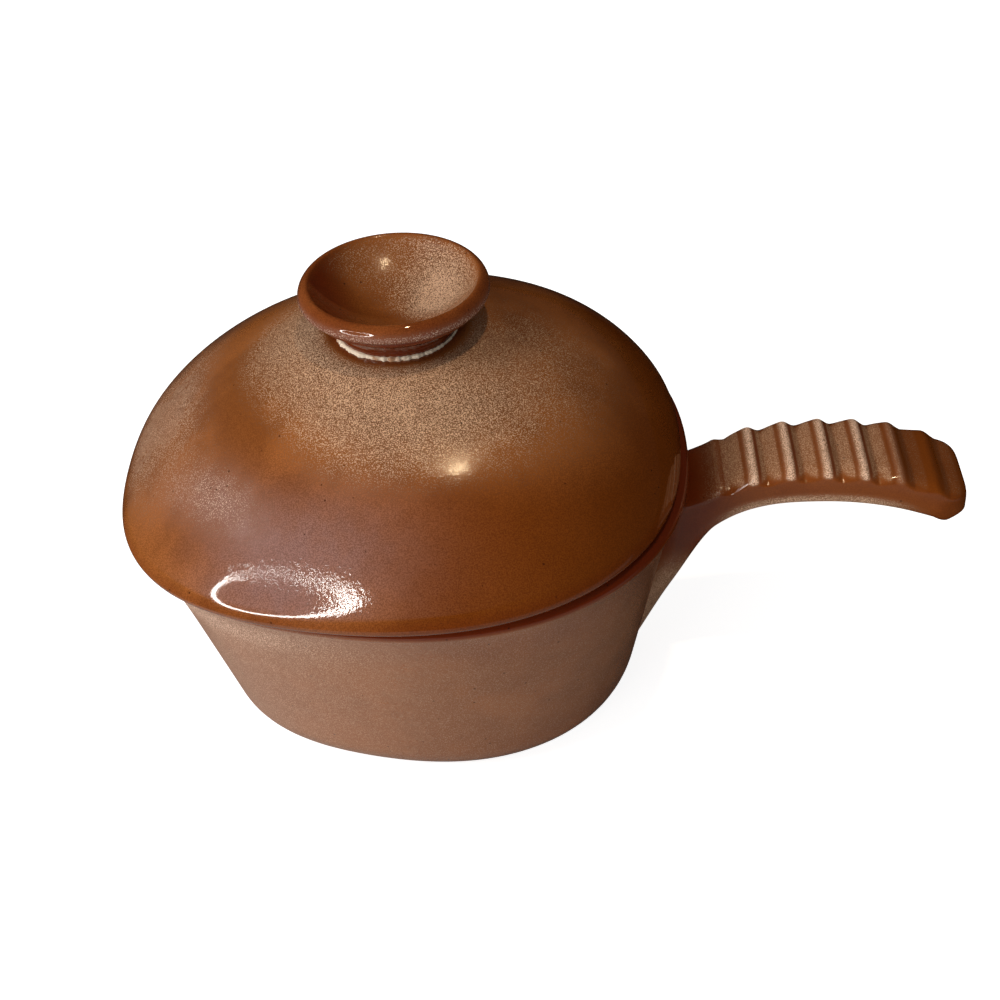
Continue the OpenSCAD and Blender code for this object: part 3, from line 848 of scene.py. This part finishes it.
class Nodes:
    """Short calls for shader nodes: a socket that is passed in is linked, a number is set."""

    def __init__(self, owner: bpy.types.Material | bpy.types.World) -> None:
        """Starts with no nodes."""
        owner.use_nodes = True
        self.owner = owner
        self.tree = owner.node_tree
        self.tree.nodes.clear()

    @cached_property
    def place(self) -> Socket:
        """Place on the piece, from its own origin."""
        return self.add("ShaderNodeTexCoord", {}).outputs["Object"]

    def add(self, kind: str, inputs: dict[str | int, Input], **settings: str) -> bpy.types.Node:
        """Adds a node.

        Args:
            kind: Type of the node.
            inputs: Socket or number for each input, by name or place.
            settings: Choices of the node.

        Returns:
            The node.
        """
        node = self.tree.nodes.new(kind)
        for key, value in settings.items():
            setattr(node, key, value)
        for key, value in inputs.items():
            if isinstance(value, Socket):
                self.tree.links.new(value, node.inputs[key])
            else:
                node.inputs[key].default_value = value
        return node

    def mark(self, mark: Mark) -> Socket:
        """Value of a mark on the piece."""
        return self.add("ShaderNodeAttribute", {}, attribute_name=mark.value).outputs["Fac"]

    def noise(self, size: float, detail: float = 3.0, rough: float = 0.55) -> Socket:
        """Soft noise from 0 to 1 with lumps of a size in millimetres."""
        inputs = {"Vector": self.place, "Scale": 1 / (size * MM), "Detail": detail, "Roughness": rough}
        return self.add("ShaderNodeTexNoise", inputs).outputs["Fac"]

    def cells(self, size: float) -> Socket:
        """Distance to the nearest of many scattered points, in cells of a size in millimetres."""
        inputs = {"Vector": self.place, "Scale": 1 / (size * MM)}
        return self.add("ShaderNodeTexVoronoi", inputs).outputs["Distance"]

    def sum(self, a: Input, b: Input) -> Socket:
        """a + b."""
        return self.add("ShaderNodeMath", {0: a, 1: b}, operation="ADD").outputs[0]

    def times(self, a: Input, b: Input) -> Socket:
        """a times b."""
        return self.add("ShaderNodeMath", {0: a, 1: b}, operation="MULTIPLY").outputs[0]

    def step(self, value: Socket, low: float, high: float, to: Pair = (0.0, 1.0)) -> Socket:
        """Smooth step of a value between low and high, onto the range to."""
        inputs = {"Value": value, "From Min": low, "From Max": high, "To Min": to[0], "To Max": to[1]}
        return self.add("ShaderNodeMapRange", inputs, interpolation_type="SMOOTHSTEP").outputs[0]

    def blend(self, share: Input, a: Input, b: Input) -> Socket:
        """Colour a, or b where the share is 1."""
        return self.add("ShaderNodeMix", {0: share, 6: a, 7: b}, data_type="RGBA").outputs[2]

    def finish(self, inputs: dict[str | int, Input], height: Socket, depth: float) -> bpy.types.Material:
        """Ends the material with a shader and a relief.

        Args:
            inputs: Inputs of the shader.
            height: Relief from 0 to 1.
            depth: Height of the relief in millimetres.

        Returns:
            The material.
        """
        relief = self.add("ShaderNodeBump", {"Strength": 1.0, "Distance": depth * MM, "Height": height})
        shader = self.add("ShaderNodeBsdfPrincipled", inputs | {"Normal": relief.outputs[0]})
        self.add("ShaderNodeOutputMaterial", {"Surface": shader.outputs[0]})
        return self.owner


@dataclass(frozen=True)
class Glaze:
    """A mottled satin glaze: brown, with tan grain where it bloomed and red-brown where it ran thin;
    where the marks carry painted light, the same colours paint sheen, glints and shade.
    """

    name: str
    ground: str = "#a2602f"
    shade: str = "#874d23"
    amber: str = "#76390b"
    rust_and_shade: str = "#6a260d"
    rose: str = "#976f65"
    haze_and_sheen: str = "#62412a"
    pale: str = "#dab08c"
    blush_and_glint: str = "#e6c2ae"
    dark: str = "#3c1c08"
    speck: str = "#2c1509"
    grain: float = 0.42
    cover: float = 0.9
    onset: float = 0.45
    pits: float = 0.45
    patchy: float = 0.12
    smooth: float = 0.06
    dull: float = 0.42
    relief: float = 0.1

    def dress(self) -> bpy.types.Material:
        """The glaze's material, from the marks on the piece and noise of a few sizes."""
        n = Nodes(bpy.data.materials.new(self.name))
        cloud, mottle = n.noise(34.0), n.noise(7.0, 4.0, 0.6)
        grain = n.noise(self.grain, 1.0)
        uneven = n.step(mottle, 0.3, 0.7, (1 - self.patchy, 1 + self.patchy))
        bloom, rose = n.times(n.mark(Mark.BLOOM_AND_LIGHT), uneven), n.times(n.mark(Mark.ROSE_AND_SHEEN), uneven)
        relief = n.mark(Mark.RELIEF)
        colour = n.blend(n.step(cloud, 0.38, 0.62), linear(self.ground), linear(self.shade))
        colour = n.blend(n.times(n.mark(Mark.POOL), 0.9), colour, linear(self.amber))
        colour = n.blend(rose, colour, linear(self.rose))
        colour = n.blend(n.times(n.mark(Mark.THIN_AND_SHADE), uneven), colour, linear(self.rust_and_shade))
        colour = n.blend(n.step(bloom, 0.0, 1.0, (0.0, 0.85)), colour, linear(self.haze_and_sheen))
        colour = n.blend(n.step(grain, 0.35, 0.65, (0.0, self.pits)), colour, linear(self.dark))
        dots = n.step(n.sum(grain, n.times(bloom, 0.13)), 0.53, 0.71)
        dots = n.times(dots, n.step(bloom, 0.02, self.onset, (0.0, self.cover)))
        colour = n.blend(dots, colour, n.blend(rose, linear(self.pale), linear(self.blush_and_glint)))
        spots = n.times(n.step(n.cells(5.0), 0.1, 0.06), n.step(n.noise(14.0), 0.52, 0.56))
        colour = n.blend(n.times(spots, 0.7), colour, linear(self.speck))
        rough = n.step(bloom, 0.0, 0.7, (self.smooth, self.dull))
        height = n.times(n.sum(n.times(dots, 0.4), n.noise(1.8)), n.sum(relief, 0.05))
        return n.finish({"Base Color": colour, "Roughness": rough, "IOR": 1.5}, height, self.relief)


@dataclass(frozen=True)
class Clay:
    """Bare fired clay: cream, with darker grit."""

    name: str
    cream: str = "#e8d4ba"
    stain: str = "#ab7c58"
    rough: float = 0.8

    def dress(self) -> bpy.types.Material:
        """The clay's material, from noise of two sizes."""
        n = Nodes(bpy.data.materials.new(self.name))
        grit = n.noise(0.7, 3.0, 0.6)
        colour = n.blend(n.step(n.noise(5.0), 0.5, 0.7), linear(self.cream), linear(self.stain))
        colour = n.blend(n.step(grit, 0.6, 0.75, (0.0, 0.5)), colour, linear(self.stain))
        return n.finish({"Base Color": colour, "Roughness": self.rough}, grit, 0.08)


@dataclass(frozen=True)
class Camera:
    """The camera at the photo's angle, given by where it sees the part's origin in a square picture."""

    azimuth: float = -2.388
    elevation: float = 38.542
    roll: float = 3.107
    origin_at: Pair = (426.16, 638.76)
    focal: float = 1800.0
    distance: float = 738.0
    picture: float = 1000.0
    sensor: float = 36.0

    def build(self) -> None:
        """Puts the camera into the scene: axes from the three angles, place from the origin's."""
        a, e, r = (math.radians(v) for v in (self.azimuth, self.elevation, self.roll))
        right = Vector((math.cos(a), -math.sin(a), 0.0))
        down = Vector((-math.sin(e) * math.sin(a), -math.sin(e) * math.cos(a), -math.cos(e)))
        ahead = Vector((math.cos(e) * math.sin(a), math.cos(e) * math.cos(a), -math.sin(e)))
        right, down = right * math.cos(r) + down * math.sin(r), down * math.cos(r) - right * math.sin(r)
        across, below = ((v - self.picture / 2) / self.focal * self.distance for v in self.origin_at)
        eye = -(right * across + down * below + ahead * self.distance) * MM
        data = bpy.data.cameras.new("camera")
        data.sensor_fit = "HORIZONTAL"
        data.sensor_width = self.sensor
        data.lens = self.focal * self.sensor / self.picture
        data.clip_start = 0.01
        camera = show("camera", data)
        turn = Matrix((right, -down, -ahead)).transposed().to_4x4()
        camera.matrix_world = Matrix.Translation(eye) @ turn
        bpy.context.scene.camera = camera
        LOG.info("camera at %s", tuple(round(v, 4) for v in eye))


def facing(spot: Triple, target: Triple) -> Euler:
    """Turn of a lamp that stands at a spot and looks at a target."""
    return (Vector(target) - Vector(spot)).to_track_quat("-Z", "Y").to_euler()


@dataclass(frozen=True)
class Lamp:
    """A square soft light that looks at the pot."""

    name: str
    spot: Triple
    power: float
    size: float
    mirrored: bool = False
    colour: Triple = WHITE[:3]
    target: Triple = (0.0, 0.0, 0.08)

    def build(self) -> None:
        """Puts the lamp into the scene."""
        data = bpy.data.lights.new(self.name, "AREA")
        data.energy = self.power
        data.size = self.size
        data.color = self.colour
        lamp = show(self.name, data)
        lamp.location = self.spot
        lamp.rotation_euler = facing(self.spot, self.target)
        lamp.visible_glossy = self.mirrored
        LOG.info("lamp %s", self.name)


@dataclass(frozen=True)
class RingLamp:
    """A glowing oval hoop, thicker at one end and thinner above, that shows as a ring in the glaze."""

    spot: Triple = (-0.429, -0.4885, 0.347)
    target: Triple = (-0.027, -0.0765, 0.152)
    radius: float = 0.218
    squash: float = 0.59
    tilt: float = 22.0
    tube: float = 0.0105
    heavy: float = 0.8
    faint: float = 0.6
    strength: float = 44.0
    colour: tuple[float, ...] = (1.0, 0.97, 0.92, 1.0)
    steps: int = 120
    rings: int = 16

    def build(self) -> None:
        """Puts the hoop into the scene: a squashed torus, tilted in its plane, with an uneven tube."""
        g = round_angles(self.steps)[None, :]
        v = round_angles(self.rings)[:, None]
        tube = self.tube * (1 + self.heavy * np.clip(np.cos(g), 0, None) ** 3)
        tube = tube * (1 - self.faint * np.clip(np.sin(g), 0, None) ** 2)
        out = self.radius + tube * np.cos(v)
        long, short = out * np.cos(g), self.squash * out * np.sin(g)
        c, s = math.cos(math.radians(self.tilt)), math.sin(math.radians(self.tilt))
        rows = (long * c - short * s, long * s + short * c, -tube * np.sin(v))
        grid = np.stack(np.broadcast_arrays(*rows), axis=-1)
        hoop = show("ring_lamp", Skin(grid / MM, ends=Ends.JOINED).mesh("ring_lamp"))
        hoop.location = self.spot
        hoop.rotation_euler = facing(self.spot, self.target)
        hoop.visible_camera = False
        hoop.visible_diffuse = False
        hoop.visible_shadow = False
        n = Nodes(bpy.data.materials.new("lamp_glow"))
        glow = n.add("ShaderNodeEmission", {"Color": self.colour, "Strength": self.strength})
        n.add("ShaderNodeOutputMaterial", {"Surface": glow.outputs[0]})
        hoop.data.materials.append(n.owner)
        LOG.info("ring lamp")


@dataclass(frozen=True)
class Studio:
    """The plain white floor, the white surroundings and the lights."""

    floor_size: float = 6.0
    fill: float = 0.22
    mirrored_fill: float = 0.01
    glow: float = 0.86
    albedo: float = 0.7
    mirrored_white: Pair = (0.75, 0.36)
    mirrored_far: float = 0.03
    mirrored_behind: float = 0.1
    lamps: tuple[Lamp, ...] = (
        Lamp("key", (-1.85, -0.85, 1.75), 41.0, 1.3),
        Lamp("low", (-1.3, -1.7, 0.35), 20.5, 0.9),
        Lamp("overhead", (0.13, -0.2, 1.1), 1.95, 0.04, True, (1.0, 0.75, 0.45)),
    )

    def floor(self) -> None:
        """Lays the floor: white to the camera but for the pot's shadow, mirrored only near the front."""
        half = self.floor_size / 2
        corners = [(-half, -half, 0.0), (half, -half, 0.0), (half, half, 0.0), (-half, half, 0.0)]
        mesh = bpy.data.meshes.new("floor")
        mesh.from_pydata(corners, [], [(0, 1, 2, 3)])
        floor = show("floor", mesh)
        n = Nodes(bpy.data.materials.new("floor_white"))
        path = n.add("ShaderNodeLightPath", {}).outputs
        across, ahead = n.add("ShaderNodeSeparateXYZ", {0: n.place}).outputs[:2]
        near = n.step(across, -0.36, -0.2, (self.mirrored_far, 1.0))
        near = n.times(near, n.step(ahead, -0.1, 0.04, (1.0, self.mirrored_far)))
        behind = n.times(n.step(across, 0.13, 0.2), n.step(ahead, -0.16, -0.09))
        near = n.times(near, n.step(behind, 0.0, 1.0, (1.0, self.mirrored_behind)))
        mirrored = n.times(n.step(across, -0.2, 0.12, self.mirrored_white), near)
        white = n.blend(path["Is Glossy Ray"], 3 * (self.albedo,) + (1.0,), mirrored)
        matt = n.add("ShaderNodeBsdfDiffuse", {"Color": white}).outputs[0]
        seen = n.times(path["Is Camera Ray"], self.glow)
        glow = n.add("ShaderNodeEmission", {"Strength": seen}).outputs[0]
        both = n.add("ShaderNodeAddShader", {0: matt, 1: glow}).outputs[0]
        n.add("ShaderNodeOutputMaterial", {"Surface": both})
        mesh.materials.append(n.owner)
        LOG.info("floor")

    def sky(self) -> None:
        """Sets the surroundings: white to the camera, a dim fill for the pot and dimmer in the glaze."""
        n = Nodes(bpy.data.worlds.new("surroundings"))
        path = n.add("ShaderNodeLightPath", {}).outputs
        dim = {0: path["Is Glossy Ray"], 2: self.fill, 3: self.mirrored_fill}
        bright = {0: path["Is Camera Ray"], 2: n.add("ShaderNodeMix", dim).outputs[0], 3: 1.0}
        strength = n.add("ShaderNodeMix", bright).outputs[0]
        back = n.add("ShaderNodeBackground", {"Color": WHITE, "Strength": strength}).outputs[0]
        n.add("ShaderNodeOutputWorld", {"Surface": back})
        bpy.context.scene.world = n.owner
        bpy.context.scene.view_settings.view_transform = "Standard"

    def build(self) -> None:
        """Sets up the whole studio."""
        self.floor()
        self.sky()
        for lamp in self.lamps:
            lamp.build()
        RingLamp().build()


@dataclass
class CoveredPot:
    """The whole object: the pot with its handle, and the cover with its knob."""

    mouth: Mouth = field(default_factory=Mouth)
    pot_glaze: Glaze = Glaze(
        "pot_glaze",
        rose="#a97863",
        blush_and_glint="#f2cdb4",
        haze_and_sheen="#8c6344",
        cover=1.0,
        onset=0.9,
        patchy=0.05,
        pits=0.25,
        smooth=0.1,
        relief=0.05,
    )
    lid_glaze: Glaze = Glaze("lid_glaze")
    clay: Clay = Clay("bare_clay")

    def build(self) -> None:
        """Builds and dresses every piece."""
        bowl = Bowl(self.mouth)
        lid = Lid(self.mouth, bowl)
        rows = (
            ("bowl_shell", bowl, Body.POT, "bowl", "pot_glaze"),
            ("ribbed_handle", Handle(self.mouth, bowl), Body.POT, "handle", "pot_glaze"),
            ("lid_shell", lid, Body.COVER, "lid", "lid_glaze"),
            ("knob_cup", Knob(lid.seat_z), Body.COVER, "knob", "lid_glaze"),
            ("clay_ring", ClayRing(lid.seat_z), Body.COVER, "joint_ring", "bare_clay"),
        )
        pieces = [place(name, shape.skin(), body, node) for name, shape, body, node, slot in rows]
        finishes = (self.pot_glaze, self.lid_glaze, self.clay)
        materials = {finish.name: finish.dress() for finish in finishes}
        for piece, row in zip(pieces, rows):
            piece.data.materials.append(materials[row[-1]])


def main() -> None:
    """Builds the pot, its studio and the camera."""
    logging.basicConfig(level=logging.INFO, format="%(name)s: %(message)s")
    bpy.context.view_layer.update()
    CoveredPot().build()
    Studio().build()
    Camera().build()


if __name__ == "__main__":
    main()
